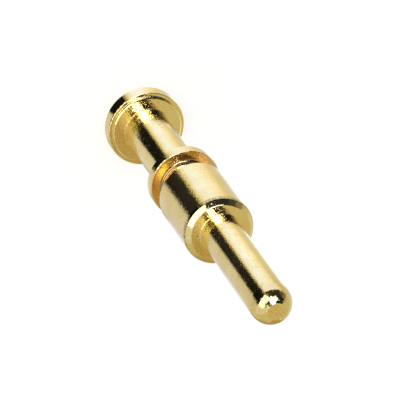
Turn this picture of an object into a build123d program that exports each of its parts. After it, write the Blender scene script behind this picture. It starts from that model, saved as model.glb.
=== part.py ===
from build123d import *
import math
import os

# Crimp pin contact: one piece, turned from bar and gold plated.
# All sizes are millimetres. +Z runs from the wire end to the tip of the pin, and the origin is the
# centre of the rear face, where the wire goes in.

# Pin, which slides into a socket contact
pin_diameter = 2.5
pin_length = 10.2
tip_flat_diameter = 1.08

# Collar, which locates the contact in its cavity
collar_diameter = 4.3
collar_length = 4.95
collar_chamfer = 0.32

# Retention groove, sunk below the collar, and the flange behind it, which stands a little proud of the collar
groove_width = 1.57
groove_depth = 0.70
flange_width = 0.74
flange_overhang = 0.03

# Crimp barrel, between the disc and the flange
barrel_diameter = 2.9
barrel_length = 7.08

# Rear disc: a rim, a flat band inside it and a low step up to the face round the barrel
disc_diameter = 4.9
rim_width = 0.90
band_width = 0.24
step_height = 0.24
step_chamfer = 0.06

# Wire bore, for a stranded conductor of 1.5 square millimetres
wire_diameter = 1.6
wire_clearance = 0.15
strip_length = 7.5
mouth_flare = 0.55
drill_point_angle = 118

# Edges that the tool and the plating leave soft, and the radii left in the inner corners
edge_radius = 0.06
collar_edge_radius = 0.22
disc_edge_chamfer = 0.05
root_radius = 0.05
groove_root_radius = 0.20

# Radii that follow from the diameters
pin_r = pin_diameter / 2
tip_flat_r = tip_flat_diameter / 2
collar_r = collar_diameter / 2
collar_face_r = collar_r - collar_chamfer
core_r = collar_r - groove_depth
flange_r = collar_r + flange_overhang
barrel_r = barrel_diameter / 2
disc_r = disc_diameter / 2
step_r = disc_r - band_width
bore_r = (wire_diameter + wire_clearance) / 2
mouth_r = bore_r + mouth_flare

# Heights along the axis, stacked from the rear face to the tip
disc_face_z = rim_width + step_height
flange_rear_z = disc_face_z + barrel_length
flange_face_z = flange_rear_z + flange_width
collar_rear_z = flange_face_z + groove_width
collar_edge_z = collar_rear_z + collar_length
collar_face_z = collar_edge_z + collar_chamfer
tip_z = collar_face_z + pin_length

# The dome on the pin is part of a ball as wide as the pin, cut off by the small flat on its end
dome_height = math.sqrt(pin_r**2 - tip_flat_r**2)
dome_z = tip_z - dome_height
dome_flat_angle = math.degrees(math.asin(dome_height / pin_r))

# The mouth is a 45 degree lead-in, and the drill leaves a cone at the bottom of the bore
mouth_depth = mouth_flare
drill_cone_depth = bore_r / math.tan(math.radians(drill_point_angle / 2))
drill_point_z = strip_length + drill_cone_depth


def half_section():
    """The contact cut along its axis: x is the radius and y the height above the rear face."""
    outside = Polyline(
        (mouth_r, 0),
        (disc_r, 0),
        (disc_r, rim_width),
        (step_r, rim_width),
        (step_r, disc_face_z),
        (barrel_r, disc_face_z),
        (barrel_r, flange_rear_z),
        (flange_r, flange_rear_z),
        (flange_r, flange_face_z),
        (core_r, flange_face_z),
        (core_r, collar_rear_z),
        (collar_r, collar_rear_z),
        (collar_r, collar_edge_z),
        (collar_face_r, collar_face_z),
        (pin_r, collar_face_z),
        (pin_r, dome_z),
    )
    dome = CenterArc((0, dome_z), pin_r, 0, dome_flat_angle)
    tip_and_axis = Polyline(
        (tip_flat_r, tip_z),
        (0, tip_z),
        (0, drill_point_z),
    )
    bore = Polyline(
        (0, drill_point_z),
        (bore_r, strip_length),
        (bore_r, mouth_depth),
        (mouth_r, 0),
    )
    return make_face(outside + dome + tip_and_axis + bore)


def corner(section, radius, height):
    """The corner of the half section nearest to a radius and a height."""
    return section.vertices().sort_by_distance((radius, height, 0))[0]


def rounded(section, corners, radius):
    """The half section with each of the corners, given as (radius, height), rounded."""
    for at_radius, at_height in corners:
        section = fillet(corner(section, at_radius, at_height), radius)
    return section


def finished_section():
    """The half section with its edges broken and its inner corners rounded."""
    section = half_section()
    section = chamfer(corner(section, disc_r, 0), disc_edge_chamfer)
    section = chamfer(corner(section, step_r, disc_face_z), step_chamfer)
    section = rounded(section, [(collar_r, collar_edge_z)], collar_edge_radius)
    sharp_edges = [
        (disc_r, rim_width),
        (flange_r, flange_rear_z),
        (flange_r, flange_face_z),
        (collar_r, collar_rear_z),
        (collar_face_r, collar_face_z),
    ]
    inner_corners = [
        (step_r, rim_width),
        (barrel_r, disc_face_z),
        (barrel_r, flange_rear_z),
        (pin_r, collar_face_z),
    ]
    groove_corners = [(core_r, flange_face_z), (core_r, collar_rear_z)]
    section = rounded(section, sharp_edges, edge_radius)
    section = rounded(section, inner_corners, root_radius)
    return rounded(section, groove_corners, groove_root_radius)


def make_contact():
    """The whole contact, turned about its axis."""
    return revolve(Plane.XZ * finished_section(), Axis.Z)


contact = make_contact()
contact.label = "contact"
os.makedirs("parts", exist_ok=True)
export_step(contact, "parts/contact.step")
print("overall length", round(tip_z, 3))
print("volume", round(contact.volume, 3))
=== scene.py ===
import math

import bmesh
import bpy
from mathutils import Matrix, Vector

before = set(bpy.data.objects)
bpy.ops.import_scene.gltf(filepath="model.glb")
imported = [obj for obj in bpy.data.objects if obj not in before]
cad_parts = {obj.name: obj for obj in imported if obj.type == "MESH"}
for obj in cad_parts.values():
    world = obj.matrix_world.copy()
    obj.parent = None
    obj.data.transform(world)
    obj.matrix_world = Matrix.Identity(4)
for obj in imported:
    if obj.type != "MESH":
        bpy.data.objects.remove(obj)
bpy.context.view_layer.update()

# Where the camera stands, in metres and degrees, with its lens and sensor in millimetres. The contact stands
# on its disc. The camera looks down on it from the side of -Y, turned so that the pin points to the picture's
# lower right
camera_distance = 0.2243
camera_lens = 338.2
camera_sensor = 36.0
nearest_seen = 0.005
farthest_seen = 20.0
line_of_sight_off_axis = 31.64
pin_direction_in_picture = 54.51
aim_height = 0.01143
aim_sideways = -0.00014

# The floor and the white room beyond it. The floor shows white, and keeps the contact's shadow
floor_radius = 3.0
floor_glow = 0.55
floor_colour = 0.8
room_light = 0.6
room_white = 1.0
circle_sides = 96

# The cards that the bright metal mirrors, in metres and degrees. They stand in a ring round the contact, and
# are seen in reflections alone. Azimuth 0 is the camera's side, and 90 is the side of +X
card_distance = 0.15
card_centre_height = 0.012
card_step = 3.0
neutral = (0.97, 1.0, 1.06)
khaki = (1.06, 1.0, 0.68)
amber = (1.30, 1.0, 0.46)
pale_green = (0.92, 1.12, 0.95)
sky = (0.82, 0.97, 1.5)
lemon = (0.74, 1.1, 1.0)
# name, azimuth from and to, elevation from and to, level of light, tint
cards = [
    ("brown_card_left", -106, -89, -5, 24, 0.22, khaki),
    ("dark_card_left_side", -89, -71, -5, 24, 0.065, neutral),
    ("black_card_left_side", -106, -71, 24, 38, 0.01, neutral),
    ("black_card_left", -71, -36, -5, 38, 0.03, neutral),
    ("dark_card_left_low", -36, -8, -5, 38, 0.05, neutral),
    ("black_card_front", -1, 54, -5, 13, 0.01, neutral),
    ("front_card_left", -8, -1, -5, 22, 0.5, khaki),
    ("softbox_front", -8, 60, 22, 43, 2.6, neutral),
    ("softbox_front_low", -1, 60, 13, 22, 2.6, neutral),
    ("front_card_middle", -8, 60, 43, 48, 0.5, neutral),
    ("khaki_card_rear_low", -180, -106, -5, 46, 0.57, khaki),
    ("pale_card_right_low", 60, 100, -5, 46, 0.76, neutral),
    ("tan_card_right_low", 100, 150, -5, 46, 0.58, khaki),
    ("brown_card_right", 54, 60, -5, 13, 0.25, amber),
    ("amber_card_rear", 150, 176, -5, 66, 0.36, amber),
    ("grey_card_rear_high", -130, -112, 46, 75, 0.2, neutral),
    ("grey_card_left_high", -106, -62, 38, 46, 0.05, neutral),
    ("dark_card_left", -112, -62, 46, 75, 0.01, neutral),
    ("dark_card_left_top", -62, -42, 50, 75, 0.01, neutral),
    ("softbox_left_low", -62, -8, 38, 50, 7.0, sky),
    ("softbox_left", -42, -8, 50, 70, 7.0, sky),
    ("brown_card_front_high", -8, 32, 53, 75, 0.1, khaki),
    ("dark_card_front_middle", -8, 60, 48, 53, 0.01, neutral),
    ("front_card_high", 32, 60, 53, 74, 1.1, pale_green),
    ("pale_card_right_high", 60, 92, 46, 74, 0.8, neutral),
    ("tan_card_right_high", 92, 122, 46, 66, 0.62, neutral),
    ("tan_card_rear_high", 122, 150, 46, 66, 0.6, khaki),
    ("khaki_card_rear_high", -184, -130, 46, 66, 0.57, khaki),
]

# The board that lies round the foot of the contact, in rings: one for the rim of the disc, one for the barrel
# and the flange, one for the collar and the pin, and the far part. Each list gives levels and tints by the
# azimuth at which the metal's reflections reach the ring. Near the metal that isn't quite the spot's own
# azimuth, but larger, by a share that is the ring's spread over the spot's distance from the axis
board_height = 0.00005
foot_ring = (0.0024, 0.0031)
inner_ring = (0.0031, 0.0079)
outer_ring = (0.0079, 0.017)
far_ring = (0.017, 0.15)
foot_spread = 0.0017
spread = 0.0002
inner_levels = [
    (-180, 0.35, neutral),
    (-160, 0.35, neutral),
    (-155, 1.5, neutral),
    (-142, 1.2, neutral),
    (-125, 0.75, neutral),
    (-112, 0.72, neutral),
    (-88, 0.76, khaki),
    (-65, 1.05, neutral),
    (-42, 1.3, sky),
    (-20, 1.2, sky),
    (-8, 0.85, khaki),
    (4, 0.012, neutral),
    (50, 0.008, neutral),
    (53, 0.4, neutral),
    (58, 0.75, neutral),
    (85, 0.8, neutral),
    (118, 0.8, neutral),
    (136, 0.55, khaki),
    (148, 0.4, amber),
    (180, 0.4, amber),
]
outer_levels = [
    (-180, 0.35, neutral),
    (-166, 0.35, neutral),
    (-160, 1.6, neutral),
    (-146, 1.3, neutral),
    (-132, 0.82, neutral),
    (-118, 0.7, neutral),
    (-94, 0.74, khaki),
    (-70, 1.1, neutral),
    (-42, 1.3, sky),
    (-20, 1.2, sky),
    (-8, 0.85, khaki),
    (3, 0.03, neutral),
    (45, 0.018, neutral),
    (49, 0.35, neutral),
    (56, 0.72, neutral),
    (92, 0.73, neutral),
    (128, 0.68, neutral),
    (146, 0.9, neutral),
    (158, 0.9, neutral),
    (166, 0.5, amber),
    (180, 0.5, amber),
]
far_levels = [
    (-180, 0.55, khaki),
    (-165, 0.7, neutral),
    (-120, 0.7, neutral),
    (-92, 0.6, khaki),
    (-75, 1.0, neutral),
    (-60, 1.15, sky),
    (-15, 1.25, sky),
    (-6, 0.7, neutral),
    (1, 0.008, neutral),
    (45, 0.008, neutral),
    (51, 0.5, neutral),
    (58, 0.65, neutral),
    (120, 0.65, khaki),
    (135, 0.42, khaki),
    (148, 0.33, amber),
    (180, 0.35, amber),
]
# The light of every ring in reflections that have met the metal more than twice, as most in the groove have.
# It is a stand-in, because a real board gives all reflections the same light
bounces_outside_groove = 2
groove_levels = [
    (-180, 0.3, neutral),
    (-115, 0.3, neutral),
    (-85, 0.17, neutral),
    (-50, 0.17, neutral),
    (-12, 0.4, neutral),
    (12, 0.9, lemon),
    (38, 2.9, lemon),
    (62, 3.8, lemon),
    (84, 2.0, lemon),
    (115, 1.0, neutral),
    (180, 0.45, neutral),
]
# name, inner and outer radius, spread, levels
boards = [
    ("foot_board", foot_ring, foot_spread, inner_levels),
    ("inner_board", inner_ring, spread, inner_levels),
    ("outer_board", outer_ring, spread, outer_levels),
    ("far_board", far_ring, spread, far_levels),
]

# The plating's colours. It is deeper in patches, darker in the groove as painted shade, and darker still in
# the groove's rear corner as painted shade.
# Dashes run round the collar's front edge, and small specks lie all over. Heights, radii and sizes are metres,
# and the pitch of the dashes is a share of the radius. Limits are the values of the noise at which a pattern
# begins and is full, and shares say how much of its colour shows
gold_colour = (0.95, 0.76, 0.34)
deep_gold_colour = (0.90, 0.67, 0.25)
patch_size = 0.0016
patch_limits = (0.35, 0.65)
# Painted shade: the groove is given a darker gold that stands in for the shade inside it
painted_groove_shade_colour = (0.84, 0.59, 0.27)
groove_heights = (0.00894, 0.01055)
groove_radii = (0.0, 0.00212)
# Painted shade: the groove's rear corner is given a dark brown that stands in for the shade in the corner
painted_root_shade_colour = (0.42, 0.28, 0.11)
root_heights = (0.00893, 0.00906)
root_radii = (0.0, 0.00162)
dash_colour = (0.26, 0.17, 0.07)
dash_heights = (0.01524, 0.01554)
dash_radii = (0.002, 0.003)
dash_pitch = 0.05
dash_limits = (0.40, 0.58)
dash_shares = (0.2, 0.75)
speck_colour = (0.62, 0.42, 0.13)
speck_size = 0.00013
speck_limits = (0.61, 0.70)
speck_share = 0.4

# The marks that turning, barrel plating and handling left in the metal, in metres: rings from the tool's feed
# and its chatter, which drift a little on their way round, a fine grain, soft waves as wide as the patches,
# and a pit at each speck
feed_pitch = 0.00011
feed_drift = 0.0004
feed_depth = 0.0000020
chatter_pitch = 0.00042
chatter_drift = 0.0008
chatter_depth = 0.0000060
grain_size = 0.00016
grain_harshness = 0.6
grain_depth = 0.0000090
wave_depth = 0.000005
pit_depth = 0.000003
plain_detail = 1.0
fine_detail = 2.0
# Below the pin the faces fall away towards their rims by a few degrees
face_lean = 2.5
lean_ends_at = 0.0165
# The metal is rougher where the grain and the chatter together stand higher
unevenness_limits = (0.7, 1.3)
roughness_limits = (0.05, 0.11)
# Stands in for the radius at the axis itself, where there is none to divide by
smallest_radius = 0.00001

# The colour sockets of a Mix node, by their place, because its sockets of other kinds have the same names
mix_first_colour = 6
mix_second_colour = 7
mix_result_colour = 2


def node(tree, kind, **inputs):
    """A node with some of its sockets set or linked, by the sockets' names."""
    made = tree.nodes.new(kind)
    for name, value in inputs.items():
        socket = made.inputs[name.replace("_", " ")]
        if isinstance(value, bpy.types.NodeSocket):
            tree.links.new(value, socket)
        else:
            socket.default_value = value
    return made


def math_node(tree, operation, *values):
    """The result of one sum on sockets or plain numbers."""
    made = tree.nodes.new("ShaderNodeMath")
    made.operation = operation
    for socket, value in zip(made.inputs, values):
        if isinstance(value, bpy.types.NodeSocket):
            tree.links.new(value, socket)
        else:
            socket.default_value = value
    return made.outputs["Value"]


def mix(tree, share, first, second):
    """A blend of two colours."""
    made = tree.nodes.new("ShaderNodeMix")
    made.data_type = "RGBA"
    tree.links.new(share, made.inputs["Factor"])
    for place, value in ((mix_first_colour, first), (mix_second_colour, second)):
        socket = made.inputs[place]
        if isinstance(value, bpy.types.NodeSocket):
            tree.links.new(value, socket)
        else:
            socket.default_value = (*value, 1.0)
    return made.outputs[mix_result_colour]


def distance_from_axis(tree, x, y):
    """The radius of a spot."""
    squares = [math_node(tree, "MULTIPLY", part, part) for part in (x, y)]
    return math_node(tree, "SQRT", math_node(tree, "ADD", *squares))


def new_material(name):
    """A material with only its output node, and its tree of nodes."""
    material = bpy.data.materials.new(name)
    material.use_nodes = True
    material.node_tree.nodes.clear()
    return material, material.node_tree


def show(tree, shader):
    """Link a shader to the material's output."""
    out = tree.nodes.new("ShaderNodeOutputMaterial")
    tree.links.new(shader, out.inputs["Surface"])


def new_object(name, mesh_builder, material):
    """A mesh object with its place in its mesh."""
    bm = bmesh.new()
    mesh_builder(bm)
    mesh = bpy.data.meshes.new(name)
    bm.to_mesh(mesh)
    bm.free()
    mesh.materials.append(material)
    obj = bpy.data.objects.new(name, mesh)
    bpy.context.scene.collection.objects.link(obj)
    return obj


def backdrop_rays(tree):
    """1 for the rays that show the white surroundings: those of the camera, of mirrors and of glass."""
    path = tree.nodes.new("ShaderNodeLightPath")
    seen = math_node(tree, "MAXIMUM", path.outputs["Is Camera Ray"], path.outputs["Is Glossy Ray"])
    return math_node(tree, "MAXIMUM", seen, path.outputs["Is Transmission Ray"])


def make_floor():
    """The pale floor that the contact stands on."""
    material, tree = new_material("white_floor")
    paper = node(tree, "ShaderNodeBsdfDiffuse", Color=(floor_colour, floor_colour, floor_colour, 1.0))
    level = math_node(tree, "MULTIPLY", backdrop_rays(tree), floor_glow)
    glow = node(tree, "ShaderNodeEmission", Strength=level)
    both_shaders = tree.nodes.new("ShaderNodeAddShader")
    tree.links.new(paper.outputs["BSDF"], both_shaders.inputs[0])
    tree.links.new(glow.outputs["Emission"], both_shaders.inputs[1])
    show(tree, both_shaders.outputs["Shader"])

    def disc(bm):
        bmesh.ops.create_circle(bm, cap_ends=True, segments=circle_sides, radius=floor_radius)

    new_object("floor", disc, material)


def make_room():
    """The white room beyond the floor."""
    world = bpy.data.worlds.new("white_room")
    bpy.context.scene.world = world
    world.use_nodes = True
    tree = world.node_tree
    tree.nodes["Background"].inputs["Color"].default_value = (1.0, 1.0, 1.0, 1.0)
    level = node(tree, "ShaderNodeMapRange", Value=backdrop_rays(tree), To_Min=room_light, To_Max=room_white)
    tree.links.new(level.outputs["Result"], tree.nodes["Background"].inputs["Strength"])


def only_in_reflections(obj):
    """Hide a card or a board from everything but the metal that mirrors it."""
    obj.visible_camera = False
    obj.visible_diffuse = False
    obj.visible_transmission = False
    obj.visible_volume_scatter = False
    obj.visible_shadow = False


def make_card(name, azimuth_from, azimuth_to, elevation_from, elevation_to, level, tint):
    """A curved card, part of a ball round the contact."""
    material, tree = new_material(name)
    glow = node(tree, "ShaderNodeEmission", Color=(*tint, 1.0), Strength=level)
    show(tree, glow.outputs["Emission"])
    width = azimuth_to - azimuth_from
    height = elevation_to - elevation_from
    rows = math.ceil(height / card_step)
    turn = Matrix.Rotation(math.radians(azimuth_from), 3, "Z")
    centre = Vector((0, 0, card_centre_height))

    def patch(bm):
        corners = []
        for row in range(rows + 1):
            rise = math.radians(elevation_from + height * row / rows)
            out = turn @ Vector((0, -math.cos(rise), math.sin(rise)))
            corners.append(bm.verts.new(out * card_distance + centre))
        edges = [bm.edges.new(pair) for pair in zip(corners, corners[1:])]
        bmesh.ops.spin(
            bm,
            geom=corners + edges,
            cent=centre,
            axis=(0, 0, 1),
            angle=math.radians(width),
            steps=math.ceil(width / card_step),
        )

    only_in_reflections(new_object(name, patch, material))


def level_ramp(tree, share, levels):
    """The light at each azimuth, from a list of azimuths, levels and tints."""
    ramp = node(tree, "ShaderNodeValToRGB", Fac=share)
    stops = ramp.color_ramp.elements
    while len(stops) < len(levels):
        stops.new(1.0)
    for stop, (azimuth, level, tint) in zip(stops, levels):
        stop.position = (azimuth + 180) / 360
        stop.color = (level * tint[0], level * tint[1], level * tint[2], 1.0)
    return ramp.outputs["Color"]


def reflected_azimuth(tree, ring_spread):
    """The azimuth of the reflections that reach a spot of the board, from 0 at -180 to 1 at 180 degrees."""
    place = tree.nodes.new("ShaderNodeTexCoord").outputs["Object"]
    axes = node(tree, "ShaderNodeSeparateXYZ", Vector=place)
    x, y = axes.outputs["X"], axes.outputs["Y"]
    radius = distance_from_axis(tree, x, y)
    spot_azimuth = math_node(tree, "ARCTAN2", x, math_node(tree, "MULTIPLY", y, -1.0))
    widening = math_node(tree, "ADD", math_node(tree, "DIVIDE", ring_spread, radius), 1.0)
    azimuth = math_node(tree, "MULTIPLY", spot_azimuth, widening)
    share = node(tree, "ShaderNodeMapRange", Value=azimuth, From_Min=-math.pi, From_Max=math.pi)
    return share.outputs["Result"]


def make_board(name, radii, ring_spread, levels):
    """A ring of the board round the foot of the contact, brighter on some sides than on others."""
    material, tree = new_material(name)
    share = reflected_azimuth(tree, ring_spread)
    bounces = tree.nodes.new("ShaderNodeLightPath").outputs["Ray Depth"]
    from_groove = math_node(tree, "GREATER_THAN", bounces, bounces_outside_groove)
    outside = level_ramp(tree, share, levels)
    colour = mix(tree, from_groove, outside, level_ramp(tree, share, groove_levels))
    glow = node(tree, "ShaderNodeEmission", Color=colour)
    show(tree, glow.outputs["Emission"])

    def ring(bm):
        rim = bmesh.ops.create_circle(bm, segments=circle_sides, radius=radii[0])["verts"]
        edges = list({edge for corner in rim for edge in corner.link_edges})
        outer = bmesh.ops.extrude_edge_only(bm, edges=edges)["geom"]
        moved = [part for part in outer if isinstance(part, bmesh.types.BMVert)]
        bmesh.ops.scale(bm, verts=moved, vec=Vector((1, 1, 1)) * radii[1] / radii[0])
        bmesh.ops.translate(bm, verts=bm.verts, vec=(0, 0, board_height))

    only_in_reflections(new_object(name, ring, material))


def make_camera():
    """The camera at the photograph's viewing angle."""
    off_axis = math.radians(line_of_sight_off_axis)
    turn = math.radians(pin_direction_in_picture)
    right = Vector((
        -math.sin(turn),
        math.cos(off_axis) * math.cos(turn),
        math.sin(off_axis) * math.cos(turn),
    ))
    down = Vector((
        math.cos(turn),
        math.cos(off_axis) * math.sin(turn),
        math.sin(off_axis) * math.sin(turn),
    ))
    ahead = Vector((0, math.sin(off_axis), -math.cos(off_axis)))
    place = Vector((aim_sideways, 0, aim_height)) - ahead * camera_distance
    turned = Matrix((right, -down, -ahead)).transposed().to_4x4()
    data = bpy.data.cameras.new("camera")
    data.lens = camera_lens
    data.sensor_width = camera_sensor
    data.clip_start = nearest_seen
    data.clip_end = farthest_seen
    camera = bpy.data.objects.new("camera", data)
    camera.matrix_world = Matrix.Translation(place) @ turned
    bpy.context.scene.collection.objects.link(camera)
    bpy.context.scene.camera = camera


def noise(tree, vector, pitch, detail=fine_detail, harshness=0.5, w=None):
    """Noise with features of one size, from 0 to 1, about 0.5."""
    made = node(tree, "ShaderNodeTexNoise", Scale=1.0 / pitch, Detail=detail, Roughness=harshness)
    tree.links.new(vector, made.inputs["Vector"])
    if w is not None:
        made.noise_dimensions = "4D"
        tree.links.new(w, made.inputs["W"])
    return made.outputs["Fac"]


def ring_noise(tree, radius, height, turn, pitch, drift):
    """Noise that runs in rings round the axis, and drifts a little round each ring."""
    drift_x, drift_y = [math_node(tree, "MULTIPLY", part, drift) for part in turn]
    along = node(tree, "ShaderNodeCombineXYZ", X=radius, Y=height, Z=drift_x)
    return noise(tree, along.outputs["Vector"], pitch, plain_detail, w=drift_y)


def between(tree, value, limits, results=(0.0, 1.0)):
    """The value moved from one range to another, and held at its ends."""
    ends = {"From_Min": limits[0], "From_Max": limits[1], "To_Min": results[0], "To_Max": results[1]}
    return node(tree, "ShaderNodeMapRange", Value=value, **ends).outputs["Result"]


def within(tree, value, limits):
    """1 where the value lies between two limits, and 0 elsewhere."""
    above = math_node(tree, "GREATER_THAN", value, limits[0])
    below = math_node(tree, "LESS_THAN", value, limits[1])
    return math_node(tree, "MULTIPLY", above, below)


def in_zone(tree, height, heights, radius, radii):
    """1 on one stretch of the contact's outside, and 0 elsewhere."""
    return math_node(tree, "MULTIPLY", within(tree, height, heights), within(tree, radius, radii))


def turned_places(tree):
    """Where a spot of the turned metal lies: its place, radius, height and direction from the axis."""
    place = tree.nodes.new("ShaderNodeTexCoord").outputs["Object"]
    axes = node(tree, "ShaderNodeSeparateXYZ", Vector=place)
    x, y = axes.outputs["X"], axes.outputs["Y"]
    radius = distance_from_axis(tree, x, y)
    divisor = math_node(tree, "MAXIMUM", radius, smallest_radius)
    turn = [math_node(tree, "DIVIDE", part, divisor) for part in (x, y)]
    return place, radius, axes.outputs["Z"], turn


def surface_height(tree, marks, radius, height):
    """How far the marks and the lean of the faces lift the surface."""
    lifts = [math_node(tree, "MULTIPLY", mark, depth) for mark, depth in marks]
    total = lifts[0]
    for lift in lifts[1:]:
        total = math_node(tree, "ADD", total, lift)
    lean = math_node(tree, "MULTIPLY", radius, -math.tan(math.radians(face_lean)))
    leaning = math_node(tree, "LESS_THAN", height, lean_ends_at)
    return math_node(tree, "ADD", total, math_node(tree, "MULTIPLY", lean, leaning))


def plating_colour(tree, radius, height, turn, patch, specks):
    """Gold with its patches, dashes and specks, and painted shade in the groove and, darker still, in its rear
    corner.
    """
    colour = mix(tree, between(tree, patch, patch_limits), gold_colour, deep_gold_colour)
    # Painted shade: the groove's darker gold stands in for its shade
    painted_groove_shade_mask = in_zone(tree, height, groove_heights, radius, groove_radii)
    colour = mix(tree, painted_groove_shade_mask, colour, painted_groove_shade_colour)
    # Painted shade: darker still in the groove's rear corner
    painted_root_shade_mask = in_zone(tree, height, root_heights, radius, root_radii)
    colour = mix(tree, painted_root_shade_mask, colour, painted_root_shade_colour)
    on_edge = in_zone(tree, height, dash_heights, radius, dash_radii)
    around = node(tree, "ShaderNodeCombineXYZ", X=turn[0], Y=turn[1]).outputs["Vector"]
    dashes = between(tree, noise(tree, around, dash_pitch, plain_detail), dash_limits, dash_shares)
    colour = mix(tree, math_node(tree, "MULTIPLY", on_edge, dashes), colour, dash_colour)
    return mix(tree, math_node(tree, "MULTIPLY", specks, speck_share), colour, speck_colour)


def gold_plating():
    """Bright gold plating over turned metal."""
    material, tree = new_material("gold_plating")
    place, radius, height, turn = turned_places(tree)
    feed = ring_noise(tree, radius, height, turn, feed_pitch, feed_drift)
    chatter = ring_noise(tree, radius, height, turn, chatter_pitch, chatter_drift)
    grain = noise(tree, place, grain_size, harshness=grain_harshness)
    patch = noise(tree, place, patch_size)
    specks = between(tree, noise(tree, place, speck_size, plain_detail), speck_limits)
    marks = [
        (feed, feed_depth),
        (chatter, chatter_depth),
        (grain, grain_depth),
        (patch, wave_depth),
        (specks, -pit_depth),
    ]
    lift = surface_height(tree, marks, radius, height)
    bump = node(tree, "ShaderNodeBump", Strength=1.0, Distance=1.0, Height=lift)
    unevenness = math_node(tree, "ADD", grain, chatter)
    shader = node(
        tree,
        "ShaderNodeBsdfPrincipled",
        Base_Color=plating_colour(tree, radius, height, turn, patch, specks),
        Metallic=1.0,
        Roughness=between(tree, unevenness, unevenness_limits, roughness_limits),
        Normal=bump.outputs["Normal"],
    )
    show(tree, shader.outputs["BSDF"])
    return material


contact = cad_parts["contact"]
contact.data.materials[0] = gold_plating()

make_floor()
make_room()
for board in boards:
    make_board(*board)
for card in cards:
    make_card(*card)
make_camera()
bpy.context.scene.view_settings.view_transform = "Standard"
